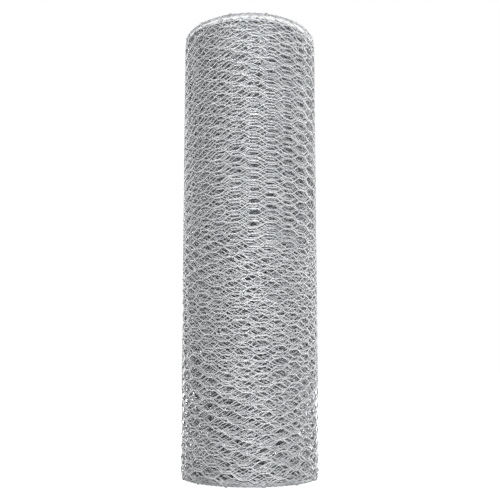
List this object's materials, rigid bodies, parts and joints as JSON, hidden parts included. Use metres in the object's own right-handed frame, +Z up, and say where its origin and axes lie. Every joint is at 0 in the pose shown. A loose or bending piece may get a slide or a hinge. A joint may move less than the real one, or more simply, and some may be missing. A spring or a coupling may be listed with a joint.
{
  "type": "roll of chicken wire",
  "caption": "Tight roll of galvanised hexagonal wire netting standing on its end, wound on itself around an open bore, for cutting lengths from or slipping over a rod.",
  "frame": {"origin": "centre of the bore at the lower end of the roll, on the floor it stands on", "axes": "+Z up along the bore, -Y towards the viewer, +Y towards the loose end of the netting at the back"},
  "size_m": [0.15, 0.1511, 0.5],
  "materials": {
    "galvanised_wire": "dull galvanised zinc over drawn steel wire"
  },
  "bodies": {
    "root": {"netting_roll": "galvanised_wire"}
  },
  "joints": []
}
